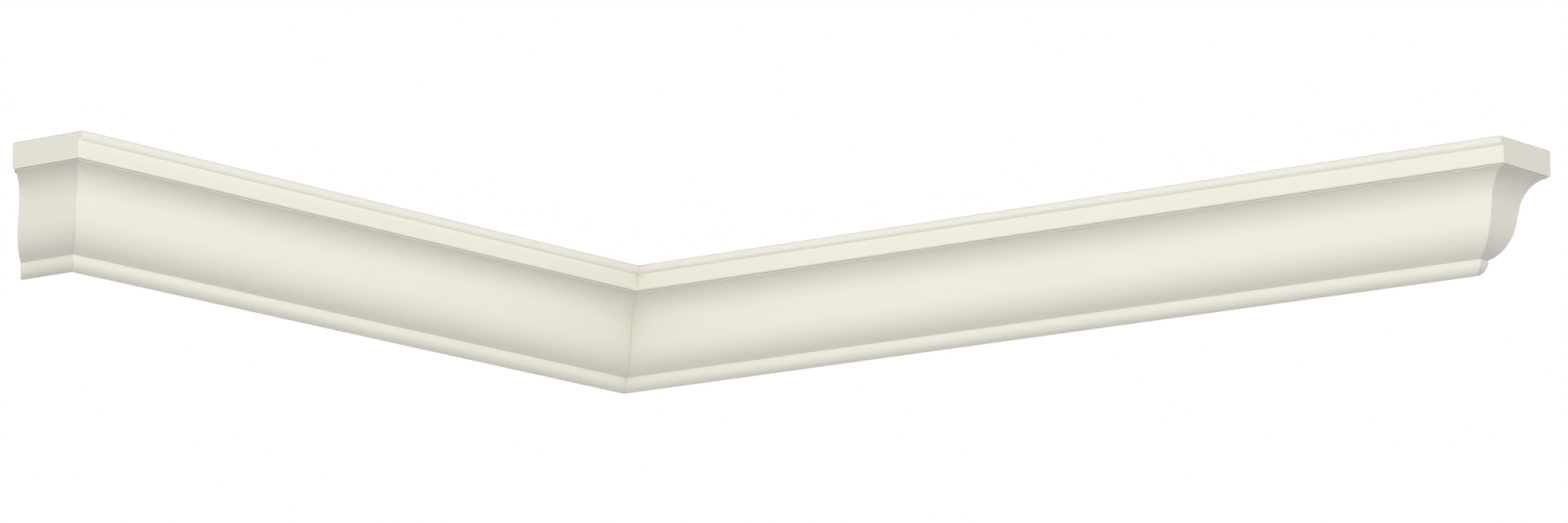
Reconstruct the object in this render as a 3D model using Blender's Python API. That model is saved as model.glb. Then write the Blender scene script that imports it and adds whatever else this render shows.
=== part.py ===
"""A length of painted crown moulding that turns one inside corner and is returned at both ends.

It is built up as a joiner builds it: two nosed cap boards, mitred at the inside corner and cut square
at their ends, over a solid crown of four mitred lengths. Units are metres, Z is up and X runs along
the right-hand wall. The origin is on that wall, at the middle of the crown's back.
"""

import math

import bmesh
import bpy
from mathutils import Vector

MM = 0.001

# The runs, measured along the band of the cap from the inside corner to each square end
RIGHT_LENGTH = 1028 * MM
LEFT_LENGTH = 834 * MM

# The cap board
CAP_THICKNESS = 25 * MM
BAND_TO_WALL = 84 * MM
NOSE_PROJECTION = 5 * MM
NOSE_FILLET = 3.2 * MM
NOSE_EASING = 1.2 * MM
BAND_EASING = 2.5 * MM
BACK_EASING = 2.5 * MM

# The crown below it
CROWN_HEIGHT = 85 * MM
REVEAL = 3.2 * MM
TOP_FILLET = 0.8 * MM
BEAD_RADIUS = 13.4 * MM
BEAD_STEP = 0.8 * MM
COVE_STEEPNESS_DEG = 75
BELLY_END_DEG = 10
BELLY_TO_COVE = 1.22

# The far end of the left return is a compound cut, as for a meeting with another length: it slants in
# plan and leans out of plumb. The length is along the band, at the middle of the crown's height.
LEFT_RETURN_LENGTH = 88 * MM
LEFT_END_SLANT_DEG = 33
LEFT_END_LEAN_DEG = 8

# Joints
JOINT_GAP = 0.3 * MM
WEDGE_TIP = 1.5 * MM

# Facets on each round stretch of the section
ARC_STEPS = 12

CREAM_PAINT = (0.84, 0.82, 0.77, 1.0)
PAINT_ROUGHNESS = 0.42

# Heights, counted from the middle of the crown's back
CROWN_TOP = CROWN_HEIGHT / 2
CROWN_BOTTOM = -CROWN_HEIGHT / 2
CAP_BOTTOM = CROWN_TOP + JOINT_GAP
CAP_TOP = CAP_BOTTOM + CAP_THICKNESS

# Corners of the band in plan; the wall behind the right run is the plane y = 0
INSIDE_CORNER = Vector((BAND_TO_WALL - RIGHT_LENGTH / 2, -BAND_TO_WALL))
RIGHT_CORNER = INSIDE_CORNER + Vector((RIGHT_LENGTH, 0))
LEFT_CORNER = INSIDE_CORNER + Vector((0, -LEFT_LENGTH))

# A mitred end is drawn back this far along the length, which parts the two faces by the gap
MITRE_RELIEF = JOINT_GAP / math.sqrt(2)


def clear_scene():
    for obj in list(bpy.data.objects):
        bpy.data.objects.remove(obj, do_unlink=True)


def arc(centre, radius, start_deg, end_deg):
    """Points on a round stretch of the section, ends included, as (setback, height)."""
    points = []
    for step in range(ARC_STEPS + 1):
        angle = math.radians(start_deg + (end_deg - start_deg) * step / ARC_STEPS)
        points.append((centre[0] + radius * math.cos(angle), centre[1] + radius * math.sin(angle)))
    return points


def cap_section():
    """Outline of the cap board as (setback from the band, height). It starts at the eased back edge.

    The nose is a fillet over a quarter-round that turns in to the band.
    """
    back = arc((BAND_TO_WALL - BACK_EASING, CAP_TOP - BACK_EASING), BACK_EASING, 0, 90)
    crest = arc((NOSE_EASING - NOSE_PROJECTION, CAP_TOP - NOSE_EASING), NOSE_EASING, 90, 180)
    quarter_round = arc((0.0, CAP_TOP - NOSE_FILLET), NOSE_PROJECTION, 180, 270)
    easing = arc((BAND_EASING, CAP_BOTTOM + BAND_EASING), BAND_EASING, 180, 270)
    return back + crest + quarter_round + easing + [(BAND_TO_WALL, CAP_BOTTOM)]


def cyma_curve():
    """The hollow over the belly, drawn in a unit box that falls from (0, 0) to (1, -1).

    Two arcs are joined by a short straight. The steepness of the straight, the angle the belly ends at
    and the ratio of the two radii are given, and the box then fixes the radius and the straight.
    """
    steep = math.radians(COVE_STEEPNESS_DEG)
    end = math.radians(BELLY_END_DEG)
    across = math.sin(steep) + BELLY_TO_COVE * (math.sin(steep) - math.sin(end))
    down = 1 - math.cos(steep) + BELLY_TO_COVE * (math.cos(end) - math.cos(steep))
    scale = across * math.sin(steep) - down * math.cos(steep)
    radius = (math.sin(steep) - math.cos(steep)) / scale
    straight = (across - down) / scale
    points = []
    for step in range(ARC_STEPS + 1):
        turn = steep * step / ARC_STEPS
        points.append((radius * math.sin(turn), -radius * (1 - math.cos(turn))))
    belly_radius = BELLY_TO_COVE * radius
    belly_top = (points[-1][0] + straight * math.cos(steep), points[-1][1] - straight * math.sin(steep))
    for step in range(ARC_STEPS + 1):
        turn = steep + (end - steep) * step / ARC_STEPS
        points.append((belly_top[0] + belly_radius * (math.sin(steep) - math.sin(turn)),
                       belly_top[1] - belly_radius * (math.cos(turn) - math.cos(steep))))
    return points


def crown_section(back=BAND_TO_WALL):
    """Outline of the crown: fillet, cove, belly and quarter-round bead. It starts at the top of the back."""
    bead_front = BAND_TO_WALL - BEAD_RADIUS
    bead_top = CROWN_BOTTOM + BEAD_RADIUS
    belly_end = bead_front + BEAD_STEP
    cove_top = CROWN_TOP - TOP_FILLET
    outline = [(back, CROWN_TOP), (REVEAL, CROWN_TOP)]
    for across, down in cyma_curve():
        outline.append((REVEAL + across * (belly_end - REVEAL), cove_top + down * (cove_top - bead_top)))
    for setback, height in arc((BAND_TO_WALL, bead_top), BEAD_RADIUS, 180, 270):
        if setback < back:
            outline.append((setback, height))
    outline.append((back, outline[-1][1]))
    return outline


def paint(name):
    material = bpy.data.materials.new(name)
    material.use_nodes = True
    shader = material.node_tree.nodes["Principled BSDF"]
    shader.inputs["Base Color"].default_value = CREAM_PAINT
    shader.inputs["Roughness"].default_value = PAINT_ROUGHNESS
    shader.inputs["Metallic"].default_value = 0.0
    return material


def moulded_length(name, section, corner, along, start, end):
    """One length of a section, cut at both ends.

    corner is the point of the band that the length is measured from, and along its direction in plan.
    start and end are cuts: the distance along the band, how much it grows for each unit of setback, and
    how much for each unit of height. The setback runs to the left of the direction.
    """
    into_wall = Vector((-along.y, along.x))
    rings = []
    for distance, growth, lean in (start, end):
        ring = []
        for setback, height in section:
            reach = distance + growth * setback + lean * height
            place = corner + along * reach + into_wall * setback
            ring.append(Vector((place.x, place.y, height)))
        rings.append(ring)
    mesh = bmesh.new()
    first = [mesh.verts.new(point) for point in rings[0]]
    last = [mesh.verts.new(point) for point in rings[1]]
    mesh.faces.new(first)
    mesh.faces.new(last)
    for index in range(len(section)):
        following = (index + 1) % len(section)
        mesh.faces.new((first[index], first[following], last[following], last[index]))
    bmesh.ops.recalc_face_normals(mesh, faces=mesh.faces)
    data = bpy.data.meshes.new(name)
    mesh.to_mesh(data)
    mesh.free()
    data.shade_smooth()
    data.set_sharp_from_angle(angle=math.radians(30))
    piece = bpy.data.objects.new(name, data)
    data.materials.append(paint(name + "_paint"))
    bpy.context.scene.collection.objects.link(piece)
    return piece


def make_caps():
    """Both cap boards run to the inside mitre, and stop square at the outside corners."""
    section = cap_section()
    moulded_length("cap_left", section, LEFT_CORNER, Vector((0, 1)),
                   (0, 0, 0), (LEFT_LENGTH - MITRE_RELIEF, 1, 0))
    moulded_length("cap_right", section, INSIDE_CORNER, Vector((1, 0)),
                   (MITRE_RELIEF, -1, 0), (RIGHT_LENGTH, 0, 0))


def make_crowns():
    """The two long lengths of the crown, mitred at both of their ends."""
    section = crown_section()
    moulded_length("crown_left", section, LEFT_CORNER, Vector((0, 1)),
                   (MITRE_RELIEF, 1, 0), (LEFT_LENGTH - MITRE_RELIEF, 1, 0))
    moulded_length("crown_right", section, INSIDE_CORNER, Vector((1, 0)),
                   (MITRE_RELIEF, -1, 0), (RIGHT_LENGTH - MITRE_RELIEF, -1, 0))


def make_returns():
    """The right return is a wedge that dies into the wall. The left one carries on past the corner."""
    slant = math.tan(math.radians(LEFT_END_SLANT_DEG))
    lean = math.tan(math.radians(LEFT_END_LEAN_DEG))
    moulded_length("return_left", crown_section(), LEFT_CORNER, Vector((1, 0)),
                   (-LEFT_RETURN_LENGTH, -slant, lean), (-MITRE_RELIEF, -1, 0))
    moulded_length("return_right", crown_section(BAND_TO_WALL - WEDGE_TIP), RIGHT_CORNER, Vector((0, 1)),
                   (MITRE_RELIEF, 1, 0), (BAND_TO_WALL, 0, 0))


def main():
    clear_scene()
    make_caps()
    make_crowns()
    make_returns()


main()
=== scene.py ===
# %% [markdown]
# # A painted crown moulding that turns a corner
#
# This lesson dresses a length of built-up crown moulding: two nosed cap boards over a solid crown that is
# mitred round one inside corner and returned at both of its ends. All of it is wood under satin cream
# paint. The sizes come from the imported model, which is loaded first and never moved.

import math

import bpy
from mathutils import Matrix, Vector


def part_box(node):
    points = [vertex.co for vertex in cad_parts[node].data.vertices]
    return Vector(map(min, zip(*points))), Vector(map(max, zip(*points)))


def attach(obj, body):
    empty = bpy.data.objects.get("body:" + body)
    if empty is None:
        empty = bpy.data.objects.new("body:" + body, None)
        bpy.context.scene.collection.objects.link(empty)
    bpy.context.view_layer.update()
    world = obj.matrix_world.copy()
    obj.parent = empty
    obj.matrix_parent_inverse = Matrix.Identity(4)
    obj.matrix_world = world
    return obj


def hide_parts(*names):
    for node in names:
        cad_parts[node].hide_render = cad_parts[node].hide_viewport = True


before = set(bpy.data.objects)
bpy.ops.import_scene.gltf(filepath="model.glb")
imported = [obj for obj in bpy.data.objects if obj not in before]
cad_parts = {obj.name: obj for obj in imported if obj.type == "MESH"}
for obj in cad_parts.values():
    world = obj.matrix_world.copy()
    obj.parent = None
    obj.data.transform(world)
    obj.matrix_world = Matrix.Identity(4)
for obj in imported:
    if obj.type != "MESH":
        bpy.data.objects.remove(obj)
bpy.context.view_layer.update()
print("nodes:", sorted(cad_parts))

# %% [markdown]
# ## Measuring the boards
#
# A joiner measures a moulding from the face that shows. Here that face is the band, the flat front of the
# cap board, and every point of a section is given by its setback behind the band and its height. The
# lengths, the depth and the heights are read from the model's own boxes, so nothing has to be fitted
# later. Only the small shapes within a section, and the far end of the left return, are named by size.

# %% Read the main sizes from the boxes
MM = 0.001

NOSE_PROJECTION = 5 * MM
RETURN_WEDGE_TIP = 1.5 * MM

cap_left_low, cap_left_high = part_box("cap_left")
cap_right_low, cap_right_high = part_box("cap_right")
crown_low, crown_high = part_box("crown_right")
return_low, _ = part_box("return_left")

wall_y = cap_right_high.y
band_y = cap_right_low.y + NOSE_PROJECTION
band_x = cap_left_high.x - NOSE_PROJECTION
depth = wall_y - band_y
cap_bottom, cap_top = cap_right_low.z, cap_right_high.z
crown_bottom, crown_top = crown_low.z, crown_high.z

inside_corner = Vector((band_x, band_y, 0))
right_corner = Vector((cap_right_high.x, band_y, 0))
left_corner = Vector((band_x, cap_left_low.y, 0))
right_length = right_corner.x - inside_corner.x
left_length = inside_corner.y - left_corner.y
print("runs in mm:", round(right_length / MM, 1), "and", round(left_length / MM, 1))
print("depth from band to wall in mm:", round(depth / MM, 1))

# %% [markdown]
# ## Drawing the two sections
#
# On the real moulding the section is cut by a shaped knife in one pass, so it is the same all along a
# length. It could be traced as a list of points, but a list says nothing about the shape. Here each round
# stretch is an arc with a centre and a radius, as on the knife's drawing, and flat stretches get one more
# point close to each end. Those points hold the smooth shading of an edge inside the edge.

# %% Small helpers for a section
ARC_STEP_DEG = 6
HOLD_DISTANCE = 0.5 * MM
LEAST_SPAN = 5 * HOLD_DISTANCE


def arc(centre, radius, start_deg, end_deg):
    """Points on a round stretch, ends included, a few degrees apart."""
    steps = max(4, round(abs(end_deg - start_deg) / ARC_STEP_DEG))
    points = []
    for step in range(steps + 1):
        angle = math.radians(start_deg + (end_deg - start_deg) * step / steps)
        points.append((centre[0] + radius * math.cos(angle), centre[1] + radius * math.sin(angle)))
    return points


def held(points):
    """The closed outline with a point close to each end of every flat stretch."""
    outline = []
    for here, there in zip(points, points[1:] + points[:1]):
        span = math.dist(here, there)
        outline.append(here)
        if span > LEAST_SPAN:
            share = HOLD_DISTANCE / span
            for part in (share, 1 - share):
                outline.append(tuple(a + part * (b - a) for a, b in zip(here, there)))
    return outline


# %% The cap board: nose, band and back
NOSE_FILLET = 3.2 * MM
NOSE_EASING = 1.2 * MM
PAINT_FILLET = 0.4 * MM      # paint gathers in the corner between the nose and the band
BAND_EASING = 2.5 * MM
BACK_EASING = 2.5 * MM
SAWN_ARRIS = 0.9 * MM


def cap_section():
    """The cap board's outline, from the eased back edge over the nose and down the band."""
    back = arc((depth - BACK_EASING, cap_top - BACK_EASING), BACK_EASING, 0, 90)
    crest = arc((NOSE_EASING - NOSE_PROJECTION, cap_top - NOSE_EASING), NOSE_EASING, 90, 180)
    nose_foot = cap_top - NOSE_FILLET - NOSE_PROJECTION
    end_deg = 270 - math.degrees(PAINT_FILLET / NOSE_PROJECTION)
    quarter_round = arc((0, cap_top - NOSE_FILLET), NOSE_PROJECTION, 180, end_deg)
    corner = arc((-PAINT_FILLET, nose_foot - PAINT_FILLET), PAINT_FILLET, 90, 0)
    easing = arc((BAND_EASING, cap_bottom + BAND_EASING), BAND_EASING, 180, 270)
    foot = arc((depth - SAWN_ARRIS, cap_bottom + SAWN_ARRIS), SAWN_ARRIS, 270, 360)
    return held(back + crest + quarter_round + corner[1:] + easing + foot)


print("points in the cap's section:", len(cap_section()))

# %% The crown: hollow, belly and bead
REVEAL = 3.2 * MM
TOP_FILLET = 0.8 * MM
BEAD_RADIUS = 13.4 * MM
BEAD_STEP = 0.8 * MM
BEAD_ARRIS = 0.5 * MM
STEEPNESS_DEG = 75
BELLY_END_DEG = 10
BELLY_TO_COVE = 1.22


def cyma(width, height):
    """A hollow over a belly that falls from (0, 0) to (width, -height).

    Two arcs are drawn in a unit box, with a short straight between them, and stretched to the size.
    """
    steep = math.radians(STEEPNESS_DEG)
    end = math.radians(BELLY_END_DEG)
    across = math.sin(steep) + BELLY_TO_COVE * (math.sin(steep) - math.sin(end))
    down = 1 - math.cos(steep) + BELLY_TO_COVE * (math.cos(end) - math.cos(steep))
    scale = across * math.sin(steep) - down * math.cos(steep)
    cove_radius = (math.sin(steep) - math.cos(steep)) / scale
    belly_radius = BELLY_TO_COVE * cove_radius
    straight = (across - down) / scale
    cove = arc((0, -cove_radius), cove_radius, 90, 90 - STEEPNESS_DEG)
    foot_x = cove[-1][0] + straight * math.cos(steep)
    foot_y = cove[-1][1] - straight * math.sin(steep)
    centre = (foot_x + belly_radius * math.sin(steep), foot_y + belly_radius * math.cos(steep))
    belly = arc(centre, belly_radius, 270 - STEEPNESS_DEG, 270 - BELLY_END_DEG)
    return [(width * x, height * y) for x, y in cove + belly]


def crown_section(back):
    """The crown's outline, from the top of its back down over the hollow, the belly and the bead."""
    bead_top = crown_bottom + BEAD_RADIUS
    belly_end = depth - BEAD_RADIUS + BEAD_STEP
    cove_top = crown_top - TOP_FILLET
    outline = [(back, crown_top), (REVEAL, crown_top)]
    for setback, height in cyma(belly_end - REVEAL, cove_top - bead_top):
        outline.append((REVEAL + setback, cove_top + height))
    bead_front = depth - BEAD_RADIUS
    outline += arc((bead_front + BEAD_ARRIS, bead_top - BEAD_ARRIS), BEAD_ARRIS, 90, 180)
    # The quarter-round starts just under its arris: 60 is a little more than a radian in degrees
    bead = arc((depth, bead_top), BEAD_RADIUS, 180 + 60 * BEAD_ARRIS / BEAD_RADIUS, 270)
    outline += [point for point in bead if point[0] < back]
    outline.append((back, outline[-1][1]))
    return held(outline)


print("points in the crown's section:", len(crown_section(depth)))

# %% [markdown]
# ## A saw and a mitre box made of nodes
#
# Every piece here is one section carried along a straight line and cut at both ends: square, on a mitre,
# or on a slant. That is a rule, so a Geometry Nodes tree can make all six. The tree sweeps the section
# along a line that has one point for each ring. Each point of the sweep remembers its place on the
# section and its ring, and one Set Position node then puts it where the cut wants it. The rings next to a
# cut are turned through an arc, which gives the arris that sandpaper and paint leave on a real joint.

# %% One function that adds a node
def add_node(tree, kind, links=None, **settings):
    """Adds a node, sets its settings, and links or sets its inputs by name or number."""
    node = tree.nodes.new(kind)
    for name, value in settings.items():
        setattr(node, name, value)
    for socket, source in (links or {}).items():
        if isinstance(source, bpy.types.NodeSocket):
            tree.links.new(source, node.inputs[socket])
        else:
            node.inputs[socket].default_value = source
    return node


# %% The tree's named inputs
sweep = bpy.data.node_groups.new("moulding_sweep", "GeometryNodeTree")
sweep.interface.new_socket("Section", in_out="INPUT", socket_type="NodeSocketGeometry")
SWEEP_INPUTS = {
    "Corner": "Vector", "Heading": "Float", "Depth": "Float", "Top": "Float",
    "Rings": "Int", "Arris rings": "Int",
    "Start": "Float", "Start growth": "Float", "Start lean": "Float", "Start round": "Float",
    "Start square": "Float", "Start finish": "Material",
    "End": "Float", "End growth": "Float", "End lean": "Float", "End round": "Float",
    "End square": "Float", "End finish": "Material",
    "Board number": "Float", "Face finish": "Material", "Back finish": "Material",
}
socket_ids = {}
for name, kind in SWEEP_INPUTS.items():
    socket = sweep.interface.new_socket(name, in_out="INPUT", socket_type="NodeSocket" + kind)
    socket_ids[name] = socket.identifier
sweep.interface.new_socket("Moulding", in_out="OUTPUT", socket_type="NodeSocketGeometry")
print("inputs of the tree:", len(socket_ids))

# %% Sweep the section along its rings
given = sweep.nodes.new("NodeGroupInput").outputs
line = add_node(sweep, "GeometryNodeMeshLine", {"Count": given["Rings"], "Offset": (0, 0, 1)})
path = add_node(sweep, "GeometryNodeMeshToCurve", {"Mesh": line.outputs["Mesh"]})
place = add_node(sweep, "GeometryNodeInputPosition").outputs[0]
tangent = add_node(sweep, "GeometryNodeInputTangent").outputs[0]
along_section = add_node(sweep, "GeometryNodeSplineParameter").outputs["Length"]
height_of_ring = add_node(sweep, "ShaderNodeSeparateXYZ", {0: place}).outputs["Z"]

section_memory = sweep.nodes.new("GeometryNodeCaptureAttribute")
for kind, name in (("VECTOR", "Place"), ("VECTOR", "Tangent"), ("FLOAT", "Around")):
    section_memory.capture_items.new(kind, name)
sweep.links.new(given["Section"], section_memory.inputs["Geometry"])
sweep.links.new(place, section_memory.inputs["Place"])
sweep.links.new(tangent, section_memory.inputs["Tangent"])
sweep.links.new(along_section, section_memory.inputs["Around"])

ring_memory = sweep.nodes.new("GeometryNodeCaptureAttribute")
ring_memory.capture_items.new("FLOAT", "Ring")
sweep.links.new(path.outputs["Curve"], ring_memory.inputs["Geometry"])
sweep.links.new(height_of_ring, ring_memory.inputs["Ring"])
ring = ring_memory.outputs["Ring"]

swept = add_node(sweep, "GeometryNodeCurveToMesh", {
    "Curve": ring_memory.outputs["Geometry"], "Profile Curve": section_memory.outputs["Geometry"],
    "Fill Caps": True})

# %% Round the arris at each cut
# The inward normal is the section's tangent turned a quarter. A square end is eased all round the
# section with it, and a mitre only in plan, so that its cut face stays flat.
inward = add_node(sweep, "ShaderNodeVectorRotate", {"Vector": section_memory.outputs["Tangent"],
                                                    "Angle": math.pi / 2}, rotation_type="Z_AXIS")
section_place = add_node(sweep, "ShaderNodeSeparateXYZ", {0: section_memory.outputs["Place"]}).outputs
setback, height = section_place["X"], section_place["Y"]
last_ring = add_node(sweep, "ShaderNodeMath", {0: given["Rings"], 1: 1.0}, operation="SUBTRACT").outputs[0]
from_last = add_node(sweep, "ShaderNodeMath", {0: last_ring, 1: ring}, operation="SUBTRACT").outputs[0]

cuts = {}
moved = section_memory.outputs["Place"]
for end, count, way in (("Start", ring, 1.0), ("End", from_last, -1.0)):
    first_turn = add_node(sweep, "ShaderNodeMapRange", {
        "Value": given[end + " square"], "To Min": math.pi / 4, "To Max": 0.0}).outputs[0]
    turn = add_node(sweep, "ShaderNodeMapRange", {
        "Value": count, "From Max": given["Arris rings"], "To Min": first_turn,
        "To Max": math.pi / 2}).outputs[0]
    cosine = add_node(sweep, "ShaderNodeMath", {0: turn}, operation="COSINE").outputs[0]
    sine = add_node(sweep, "ShaderNodeMath", {0: turn}, operation="SINE").outputs[0]
    radius = given[end + " round"]
    run_in = add_node(sweep, "ShaderNodeMath", {0: cosine, 1: -1.0, 2: 1.0}, operation="MULTIPLY_ADD")
    run_in = add_node(sweep, "ShaderNodeMath", {0: run_in.outputs[0], 1: radius}, operation="MULTIPLY")
    inset = add_node(sweep, "ShaderNodeMath", {0: sine, 1: -1.0, 2: 1.0}, operation="MULTIPLY_ADD")
    inset = add_node(sweep, "ShaderNodeMath", {0: inset.outputs[0], 1: radius}, operation="MULTIPLY")
    direction = add_node(sweep, "ShaderNodeMix", {
        "Factor": given[end + " square"], 4: (1.0, 0.0, 0.0), 5: inward.outputs[0]}, data_type="VECTOR")
    step = add_node(sweep, "ShaderNodeVectorMath", {0: direction.outputs[1], "Scale": inset.outputs[0]},
                    operation="SCALE")
    moved = add_node(sweep, "ShaderNodeVectorMath", {0: moved, 1: step.outputs[0]}).outputs[0]
    cut = add_node(sweep, "ShaderNodeMath", {0: given[end + " growth"], 1: setback, 2: given[end]},
                   operation="MULTIPLY_ADD")
    cut = add_node(sweep, "ShaderNodeMath", {0: given[end + " lean"], 1: height, 2: cut.outputs[0]},
                   operation="MULTIPLY_ADD")
    cuts[end] = add_node(sweep, "ShaderNodeMath", {0: run_in.outputs[0], 1: way, 2: cut.outputs[0]},
                         operation="MULTIPLY_ADD").outputs[0]

# %% Put every point in its place
# The rings between the two cuts are spaced on a smooth step, so they stand closer next to the cuts.
middle_end = add_node(sweep, "ShaderNodeMath", {0: last_ring, 1: given["Arris rings"]}, operation="SUBTRACT")
distance = add_node(sweep, "ShaderNodeMapRange", {
    "Value": ring, "From Min": given["Arris rings"], "From Max": middle_end.outputs[0],
    "To Min": cuts["Start"], "To Max": cuts["End"]}, interpolation_type="SMOOTHERSTEP").outputs[0]
moved_parts = add_node(sweep, "ShaderNodeSeparateXYZ", {0: moved}).outputs
into_wall = add_node(sweep, "ShaderNodeMath", {0: moved_parts["X"], 1: given["Depth"]}, operation="MINIMUM")
laid = add_node(sweep, "ShaderNodeCombineXYZ", {
    "X": distance, "Y": into_wall.outputs[0], "Z": moved_parts["Y"]})
headed = add_node(sweep, "ShaderNodeVectorRotate", {"Vector": laid.outputs[0], "Angle": given["Heading"]},
                  rotation_type="Z_AXIS")
at_corner = add_node(sweep, "ShaderNodeVectorMath", {0: headed.outputs[0], 1: given["Corner"]})
bent = add_node(sweep, "GeometryNodeSetPosition", {
    "Geometry": swept.outputs["Mesh"], "Position": at_corner.outputs[0]})
grain_place = add_node(sweep, "ShaderNodeCombineXYZ", {
    "X": distance, "Y": section_memory.outputs["Around"], "Z": given["Board number"]})
mapped = add_node(sweep, "GeometryNodeStoreNamedAttribute", {
    "Geometry": bent.outputs["Geometry"], "Name": "board_place", "Value": grain_place.outputs[0]},
    data_type="FLOAT_VECTOR", domain="POINT")

# %% Smooth faces, flat cuts and a finish for each side
# A cut is the face at ring zero, counted from its own end. A face's ring is the mean of its corners'.
NEARLY_ZERO = 0.25
TOLERANCE = 0.01 * MM

start_cut = add_node(sweep, "FunctionNodeCompare", {0: ring, 1: NEARLY_ZERO}, operation="LESS_THAN")
end_cut = add_node(sweep, "FunctionNodeCompare", {0: from_last, 1: NEARLY_ZERO}, operation="LESS_THAN")
any_cut = add_node(sweep, "FunctionNodeBooleanMath", {0: start_cut.outputs[0], 1: end_cut.outputs[0]},
                   operation="OR")
not_cut = add_node(sweep, "FunctionNodeBooleanMath", {0: any_cut.outputs[0]}, operation="NOT")
smooth = add_node(sweep, "GeometryNodeSetShadeSmooth", {
    "Geometry": mapped.outputs["Geometry"], "Shade Smooth": not_cut.outputs[0]})
near_back = add_node(sweep, "ShaderNodeMath", {0: given["Depth"], 1: TOLERANCE}, operation="SUBTRACT")
near_top = add_node(sweep, "ShaderNodeMath", {0: given["Top"], 1: TOLERANCE}, operation="SUBTRACT")
on_back = add_node(sweep, "FunctionNodeCompare", {0: setback, 1: near_back.outputs[0]},
                   operation="GREATER_THAN")
on_top = add_node(sweep, "FunctionNodeCompare", {0: height, 1: near_top.outputs[0]},
                  operation="GREATER_THAN")
hidden = add_node(sweep, "FunctionNodeBooleanMath", {0: on_back.outputs[0], 1: on_top.outputs[0]},
                  operation="OR")
realized = add_node(sweep, "GeometryNodeRealizeInstances", {"Geometry": smooth.outputs["Geometry"]})
finished = add_node(sweep, "GeometryNodeSetMaterial", {
    "Geometry": realized.outputs["Geometry"], "Material": given["Face finish"]})
for chosen, finish in ((hidden, "Back finish"), (start_cut, "Start finish"), (end_cut, "End finish")):
    finished = add_node(sweep, "GeometryNodeSetMaterial", {
        "Geometry": finished.outputs["Geometry"], "Selection": chosen.outputs[0],
        "Material": given[finish]})
add_node(sweep, "NodeGroupOutput", {0: finished.outputs["Geometry"]})
print("nodes in the tree:", len(sweep.nodes))

# %% [markdown]
# ## The finishes
#
# The moulding is sprayed with a satin enamel in warm off-white. Sprayed paint levels into a faint orange
# peel, and the sanded wood under it leaves very fine streaks along the length. It could be one flat
# colour, but then the long faces look like plastic. So noise stretched along each board varies the colour
# by a percent or two and the gloss by a few percent, and the peel is a bump.

# %% Colours from hex
def colour(hex_code):
    """An sRGB hex colour as the linear colour that the shader wants."""
    channels = [int(hex_code[i:i + 2], 16) / 255 for i in (1, 3, 5)]
    linear = [c / 12.92 if c <= 0.04045 else ((c + 0.055) / 1.055) ** 2.4 for c in channels]
    return (*linear, 1.0)


# %% Paint with clouds and streaks
STREAK_WIDTH = 3 * MM        # sanding streaks are nearer 0.5 mm, drawn coarser so that they show
STREAK_LENGTH = 140 * MM
STREAK_SHARE = 0.4
CLOUD_SIZE = 70 * MM
GLOSS_SWING = 0.05
ENAMEL_IOR = 1.5


def sprayed_paint(name, light, deep, roughness, relief, relief_height):
    """Paint with clouds of thickness and faint streaks along the board, over a relief for the bump."""
    material = bpy.data.materials.new(name)
    material.use_nodes = True
    tree = material.node_tree
    shader = tree.nodes["Principled BSDF"]
    shader.inputs["IOR"].default_value = ENAMEL_IOR
    place = add_node(tree, "ShaderNodeAttribute", attribute_name="board_place").outputs["Vector"]
    body = add_node(tree, "ShaderNodeTexCoord").outputs["Object"]
    stretched = add_node(tree, "ShaderNodeMapping", {
        "Vector": place, "Scale": (1 / STREAK_LENGTH, 1 / STREAK_WIDTH, 1.0)})
    streaks = add_node(tree, "ShaderNodeTexNoise", {
        "Vector": stretched.outputs[0], "Scale": 1.0, "Detail": 2.0})
    clouds = add_node(tree, "ShaderNodeTexNoise", {"Vector": body, "Scale": 1 / CLOUD_SIZE, "Detail": 3.0})
    thickness = add_node(tree, "ShaderNodeMix", {
        "Factor": STREAK_SHARE, 2: clouds.outputs["Fac"], 3: streaks.outputs["Fac"]})
    tone = add_node(tree, "ShaderNodeMix", {
        "Factor": thickness.outputs[0], 6: colour(light), 7: colour(deep)}, data_type="RGBA")
    gloss = add_node(tree, "ShaderNodeMapRange", {
        "Value": streaks.outputs["Fac"], "To Min": roughness - GLOSS_SWING,
        "To Max": roughness + GLOSS_SWING})
    bump = add_node(tree, "ShaderNodeBump", {
        "Height": relief(tree, body, place), "Distance": relief_height})
    tree.links.new(tone.outputs[2], shader.inputs["Base Color"])
    tree.links.new(gloss.outputs[0], shader.inputs["Roughness"])
    tree.links.new(bump.outputs[0], shader.inputs["Normal"])
    return material


# %% Satin cream enamel, sprayed over primed poplar
# Satin enamel has an IOR near 1.5 and scatters its highlight, so edges glow softly and never glint.
CREAM_LIGHT = "#F0EDE2"
CREAM_DEEP = "#ECE9DC"
ENAMEL_ROUGHNESS = 0.42
PEEL_SIZE = 2.5 * MM         # orange peel is nearer 1 mm, drawn coarser so that it shows
PEEL_HEIGHT = 0.012 * MM


def orange_peel(tree, body, place):
    """Fine even dimples, the same in every direction."""
    return add_node(tree, "ShaderNodeTexNoise", {
        "Vector": body, "Scale": 1 / PEEL_SIZE, "Detail": 1.0}).outputs["Fac"]


enamel = sprayed_paint("satin_enamel_sprayed", CREAM_LIGHT, CREAM_DEEP, ENAMEL_ROUGHNESS,
                       orange_peel, PEEL_HEIGHT)

# %% Enamel on end grain
# End grain drinks the paint, so a cut end is a little duller and the growth rings show as faint ridges.
END_CREAM_LIGHT = "#EDEADF"
END_CREAM_DEEP = "#E7E3D5"
END_ROUGHNESS = 0.55
RING_SPACING = 4 * MM
RING_HEIGHT = 0.02 * MM
WAVE_LENGTH = 0.314          # the length of one wave of Blender's Wave texture at a scale of 1


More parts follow.
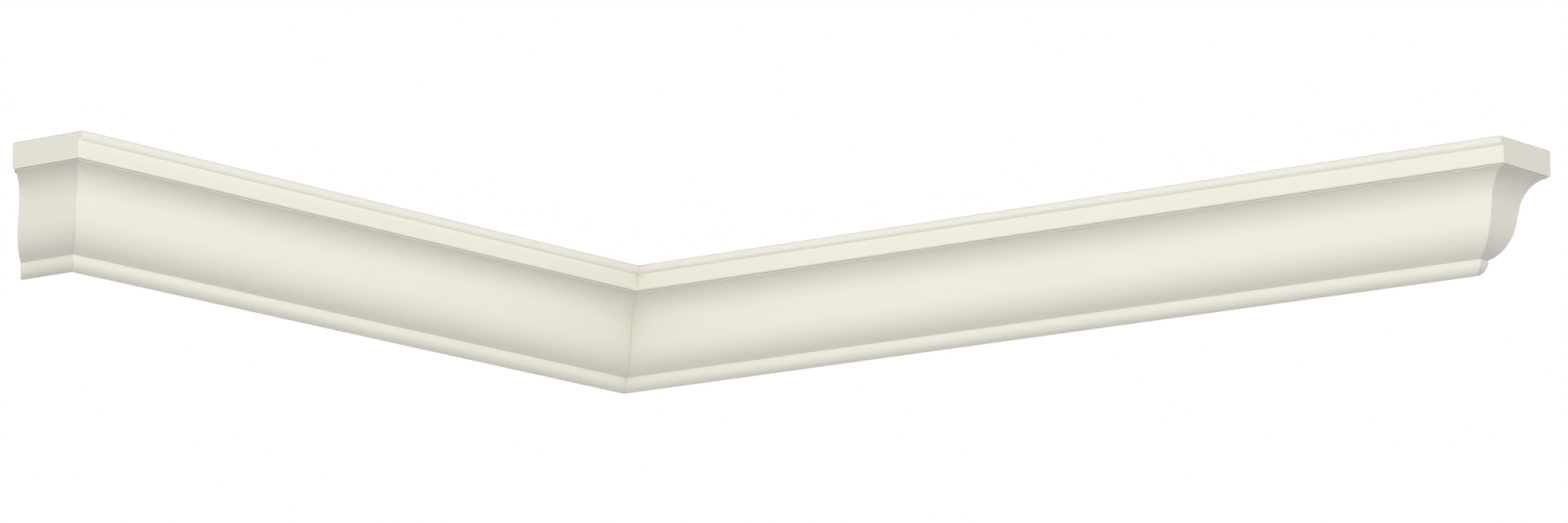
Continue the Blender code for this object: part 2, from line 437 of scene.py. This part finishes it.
def growth_rings(tree, body, place):
    """Rings about the X axis: arcs on the right cap's end, and hardly seen on the left one's."""
    return add_node(tree, "ShaderNodeTexWave", {
        "Vector": body, "Scale": WAVE_LENGTH / RING_SPACING, "Distortion": 3.0, "Detail": 2.0,
        "Detail Scale": 0.5}, wave_type="RINGS", rings_direction="X").outputs["Fac"]


end_grain = sprayed_paint("satin_enamel_on_end_grain", END_CREAM_LIGHT, END_CREAM_DEEP, END_ROUGHNESS,
                          growth_rings, RING_HEIGHT)

# %% Primer on the sawn back
# The backs, the tops, the mitres and the slanted cut only get a sealing coat of primer. It is chalky,
# and the saw's marks run across the length under it.
PRIMER_LIGHT = "#E6E2D6"
PRIMER_DEEP = "#DCD6C6"
PRIMER_ROUGHNESS = 0.8
SAW_MARK_SPACING = 6 * MM
SAW_MARK_HEIGHT = 0.08 * MM


def saw_marks(tree, body, place):
    """Ridges across the board, counted along its length."""
    return add_node(tree, "ShaderNodeTexWave", {
        "Vector": place, "Scale": WAVE_LENGTH / SAW_MARK_SPACING, "Distortion": 1.5, "Detail": 2.0},
        wave_type="BANDS", bands_direction="X").outputs["Fac"]


primer = sprayed_paint("primer_on_sawn_poplar", PRIMER_LIGHT, PRIMER_DEEP, PRIMER_ROUGHNESS,
                       saw_marks, SAW_MARK_HEIGHT)
print("finishes:", [m.name for m in (enamel, end_grain, primer)])

# %% [markdown]
# ## Cutting the six boards
#
# A joiner cuts the two cap boards and the two long crowns first, and then the two short returns that
# carry the section round the outside corners. Each is described by the corner it is measured from, its
# heading, and its two cuts. A cut has its distance along the band, its growth for each millimetre of
# setback, and its lean for each millimetre of height. A growth of one is a mitre, and none is a square
# cut. Six meshes could be modelled by hand instead, but then a change to the section would mean six edits.

# %% Make one board with the tree
ARRIS_RINGS = 6
RING_EVERY = 40 * MM
LEAST_RINGS = 12


def draw_section(name, points):
    """The closed section as a flat curve, with its setback along X and its height along Y."""
    curve = bpy.data.curves.new(name, "CURVE")
    curve.dimensions = "2D"
    curve.fill_mode = "NONE"
    spline = curve.splines.new("POLY")
    spline.points.add(len(points) - 1)
    for point, (setback, height) in zip(spline.points, points):
        point.co = (setback, height, 0, 1)
    spline.use_cyclic_u = True
    drawn = bpy.data.objects.new(name, curve)
    bpy.context.scene.collection.objects.link(drawn)
    return drawn


def make_board(name, section, settings):
    """Runs the tree over a section and keeps its result as a plain mesh."""
    drawn = draw_section(name + "_section", section)
    modifier = drawn.modifiers.new("moulding_sweep", "NODES")
    modifier.node_group = sweep
    for key, value in settings.items():
        modifier[socket_ids[key]] = value
    bpy.context.view_layer.update()
    evaluated = drawn.evaluated_get(bpy.context.evaluated_depsgraph_get())
    mesh = bpy.data.meshes.new_from_object(evaluated)
    drawn.modifiers.remove(modifier)
    bpy.data.objects.remove(drawn, do_unlink=True)
    mesh.name = name
    board = bpy.data.objects.new(name, mesh)
    bpy.context.scene.collection.objects.link(board)
    return board


# %% The list of cuts
OUTSIDE_ROUND = 1.2 * MM
INSIDE_ROUND = 0.12 * MM
SQUARE_ROUND = 0.8 * MM
SAWN_ROUND = 1.5 * MM
WALL_ROUND = 0.2 * MM

ALONG_RIGHT_RUN = 0.0
ALONG_LEFT_RUN = math.pi / 2

# The left return's far cut leans out of plumb and slants in plan, as for a meeting with another length.
LEFT_RETURN_LENGTH = 88 * MM
LEFT_END_LEAN_DEG = 8

lean = math.tan(math.radians(LEFT_END_LEAN_DEG))
left_return_reach = left_corner.x - return_low.x
slant = (left_return_reach - LEFT_RETURN_LENGTH + lean * crown_bottom) / depth
print("left return reaches in mm:", round(left_return_reach / MM, 1))
print("its slant in degrees:", round(math.degrees(math.atan(slant)), 1))

# Each cut is (distance along the band, growth, lean, arris radius, 1 if square, finish)
inside_mitre_start = (0.0, -1.0, 0.0, INSIDE_ROUND, 0.0, primer)
inside_mitre_end = (left_length, 1.0, 0.0, INSIDE_ROUND, 0.0, primer)
outside_mitre_start = (0.0, 1.0, 0.0, OUTSIDE_ROUND, 0.0, primer)
cap, crown, wedge = cap_section(), crown_section(depth), crown_section(depth - RETURN_WEDGE_TIP)
BOARDS = {
    "cap_left": (cap, depth, left_corner, ALONG_LEFT_RUN,
                 (0.0, 0.0, 0.0, SQUARE_ROUND, 1.0, end_grain), inside_mitre_end),
    "cap_right": (cap, depth, inside_corner, ALONG_RIGHT_RUN,
                  inside_mitre_start, (right_length, 0.0, 0.0, SQUARE_ROUND, 1.0, end_grain)),
    "crown_left": (crown, depth, left_corner, ALONG_LEFT_RUN, outside_mitre_start, inside_mitre_end),
    "crown_right": (crown, depth, inside_corner, ALONG_RIGHT_RUN,
                    inside_mitre_start, (right_length, -1.0, 0.0, OUTSIDE_ROUND, 0.0, primer)),
    "return_left": (crown, depth, left_corner, ALONG_RIGHT_RUN,
                    (-LEFT_RETURN_LENGTH, -slant, lean, SAWN_ROUND, 1.0, primer),
                    (0.0, -1.0, 0.0, OUTSIDE_ROUND, 0.0, primer)),
    "return_right": (wedge, depth - RETURN_WEDGE_TIP, right_corner, ALONG_LEFT_RUN,
                     outside_mitre_start, (depth, 0.0, 0.0, WALL_ROUND, 0.0, primer)),
}

# %% Cut them
PATTERN_STEP = 0.37          # moves the streaks on from board to board, so that no two are alike

for number, (node, cuts_of_board) in enumerate(BOARDS.items()):
    section, board_depth, corner, heading, start, end = cuts_of_board
    middle_rings = max(LEAST_RINGS, math.ceil((end[0] - start[0]) / RING_EVERY))
    settings = {
        "Corner": tuple(corner), "Heading": heading, "Depth": board_depth,
        "Top": cap_top if node.startswith("cap") else crown_top,
        "Rings": 2 * ARRIS_RINGS + middle_rings + 1, "Arris rings": ARRIS_RINGS,
        "Board number": PATTERN_STEP * number, "Face finish": enamel, "Back finish": primer,
    }
    for word, (distance_along, growth, tilt, radius, square, finish) in (("Start", start), ("End", end)):
        settings.update({word: distance_along, word + " growth": growth, word + " lean": tilt,
                         word + " round": radius, word + " square": square, word + " finish": finish})
    board = make_board(node + "_painted", section, settings)
    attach(board, "root")
    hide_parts(node)
    triangles = sum(len(polygon.vertices) - 2 for polygon in board.data.polygons)
    low = [round(min(v.co[axis] for v in board.data.vertices) / MM, 1) for axis in range(3)]
    high = [round(max(v.co[axis] for v in board.data.vertices) / MM, 1) for axis in range(3)]
    print(node, "has", triangles, "triangles, from", low, "to", high, "mm")

# %% [markdown]
# ## A studio for it
#
# The moulding hangs over a pale floor in soft light from the room's side, as it would under a ceiling.
# A photographer would hang one large softbox in front of each run, and a weaker one beside each end. One
# even sky could do the same work with less, but then a run would be no brighter than its end, and the
# forms would go flat. A bank of soft suns at several heights stands for each softbox here, and light
# linking keeps it to its own boards. The sky is dark straight above and straight below, which leaves the
# shade under the nose, the cap and the bead. The strengths of the sky and the lamps were found together,
# by fitting the lit model's brightness to the picture's, and then rounded.

# %% The floor
FLOOR_DROP = 2.35
FLOOR_RADIUS = 3.0
FLOOR_COLOUR = "#F4F4F2"
FLOOR_ROUGHNESS = 0.9

bpy.ops.mesh.primitive_circle_add(vertices=96, radius=FLOOR_RADIUS, fill_type="NGON",
                                  location=(0, 0, -FLOOR_DROP))
floor = bpy.context.object
floor.name = "studio_floor"
pale = bpy.data.materials.new("pale_matt_floor")
pale.use_nodes = True
pale_shader = pale.node_tree.nodes["Principled BSDF"]
pale_shader.inputs["Base Color"].default_value = colour(FLOOR_COLOUR)
pale_shader.inputs["Roughness"].default_value = FLOOR_ROUGHNESS
floor.data.materials.append(pale)

# %% The sky
# Its levels from straight below to straight above, at equal steps of height
SKY_LEVELS = (0.12, 0.84, 0.88, 0.40, 0.01)

world = bpy.data.worlds.new("studio_sky")
bpy.context.scene.world = world
world.use_nodes = True
sky = world.node_tree
sky.nodes.clear()
direction = add_node(sky, "ShaderNodeTexCoord").outputs["Generated"]
upward = add_node(sky, "ShaderNodeSeparateXYZ", {0: direction}).outputs["Z"]
from_nadir = add_node(sky, "ShaderNodeMapRange", {"Value": upward, "From Min": -1.0})
ramp = add_node(sky, "ShaderNodeValToRGB", {0: from_nadir.outputs[0]})
for step in range(1, len(SKY_LEVELS) - 1):
    ramp.color_ramp.elements.new(step / (len(SKY_LEVELS) - 1))
for element, level in zip(ramp.color_ramp.elements, SKY_LEVELS):
    element.color = (level, level, level, 1)
soft = add_node(sky, "ShaderNodeBackground", {"Color": ramp.outputs[0]})
white = add_node(sky, "ShaderNodeBackground", {"Color": (1, 1, 1, 1)})
seen = add_node(sky, "ShaderNodeLightPath").outputs["Is Camera Ray"]
mixed = add_node(sky, "ShaderNodeMixShader", {0: seen, 1: soft.outputs[0], 2: white.outputs[0]})
add_node(sky, "ShaderNodeOutputWorld", {0: mixed.outputs[0]})

# %% The lamps
LAMP_SPREAD_DEG = 60
LAMP_DISTANCE = 2.0


def run_lamp(name, compass_deg, height_deg, strength, boards):
    """A wide soft sun that lights only the boards named. Compass 0 stands at -Y, and 90 at +X."""
    compass, height = math.radians(compass_deg), math.radians(height_deg)
    towards_lamp = Vector((math.sin(compass) * math.cos(height), -math.cos(compass) * math.cos(height),
                           math.sin(height)))
    data = bpy.data.lights.new(name, "SUN")
    data.angle = math.radians(LAMP_SPREAD_DEG)
    data.energy = strength
    lamp = bpy.data.objects.new(name, data)
    lamp.location = LAMP_DISTANCE * towards_lamp
    lamp.rotation_euler = towards_lamp.to_track_quat("Z", "Y").to_euler()
    bpy.context.scene.collection.objects.link(lamp)
    lit = bpy.data.collections.new(name + "_lights")
    for board in boards:
        lit.objects.link(bpy.data.objects[board + "_painted"])
    lamp.light_linking.receiver_collection = lit


# Each bank has its compass, the boards it lights, and the strength of its lamp at each height in degrees
LAMP_BANKS = {
    "right_run": (0, ("cap_right", "crown_right"), {-45: 0.93, -20: 0.52, 10: 0.19, 40: 0.30}),
    "left_run": (90, ("cap_left", "crown_left"), {-45: 0.76, -20: 0.69, 10: 0.37}),
    "left_end": (0, ("cap_left", "return_left"), {-20: 0.48, 30: 0.46}),
    "right_end": (90, ("cap_right", "return_right"), {-20: 0.17, 30: 0.50}),
}
for bank, (compass_deg, boards, strengths) in LAMP_BANKS.items():
    for number, (height_deg, strength) in enumerate(strengths.items()):
        run_lamp(f"{bank}_lamp_{number}", compass_deg, height_deg, strength, boards)
print("lamps:", sum(len(strengths) for _, _, strengths in LAMP_BANKS.values()))

# %% [markdown]
# ## The camera
#
# The picture is taken from below and to the right with a long lens, which keeps the two runs almost free
# of perspective. The place and the angles were found by fitting the model's edges to the picture's.

# %% Place the camera
PICTURE_WIDTH = 2000
FOCAL_LENGTH_PX = 9411
SENSOR_WIDTH_MM = 36.0
CAMERA_PLACE = (4.1261, -5.8505, -1.3664)
CAMERA_TURN_DEG = -37.153
CAMERA_TILT_DEG = 11.081
CAMERA_ROLL_DEG = -0.191

camera_data = bpy.data.cameras.new("camera")
camera_data.sensor_width = SENSOR_WIDTH_MM
camera_data.lens = FOCAL_LENGTH_PX * SENSOR_WIDTH_MM / PICTURE_WIDTH
camera = bpy.data.objects.new("camera", camera_data)
bpy.context.scene.collection.objects.link(camera)
turn, tilt, roll = (math.radians(a) for a in (CAMERA_TURN_DEG, CAMERA_TILT_DEG, CAMERA_ROLL_DEG))
ahead_flat = Vector((math.sin(turn), math.cos(turn), 0))
right_flat = Vector((math.cos(turn), -math.sin(turn), 0))
ahead = ahead_flat * math.cos(tilt) + Vector((0, 0, math.sin(tilt)))
up_level = Vector((0, 0, math.cos(tilt))) - ahead_flat * math.sin(tilt)
camera_right = right_flat * math.cos(roll) + up_level * math.sin(roll)
camera_up = up_level * math.cos(roll) - right_flat * math.sin(roll)
axes = Matrix((camera_right, camera_up, -ahead)).transposed()
camera.matrix_world = Matrix.Translation(CAMERA_PLACE) @ axes.to_4x4()
bpy.context.scene.camera = camera
bpy.context.scene.view_settings.view_transform = "Standard"
print("lens in mm:", round(camera_data.lens, 1))
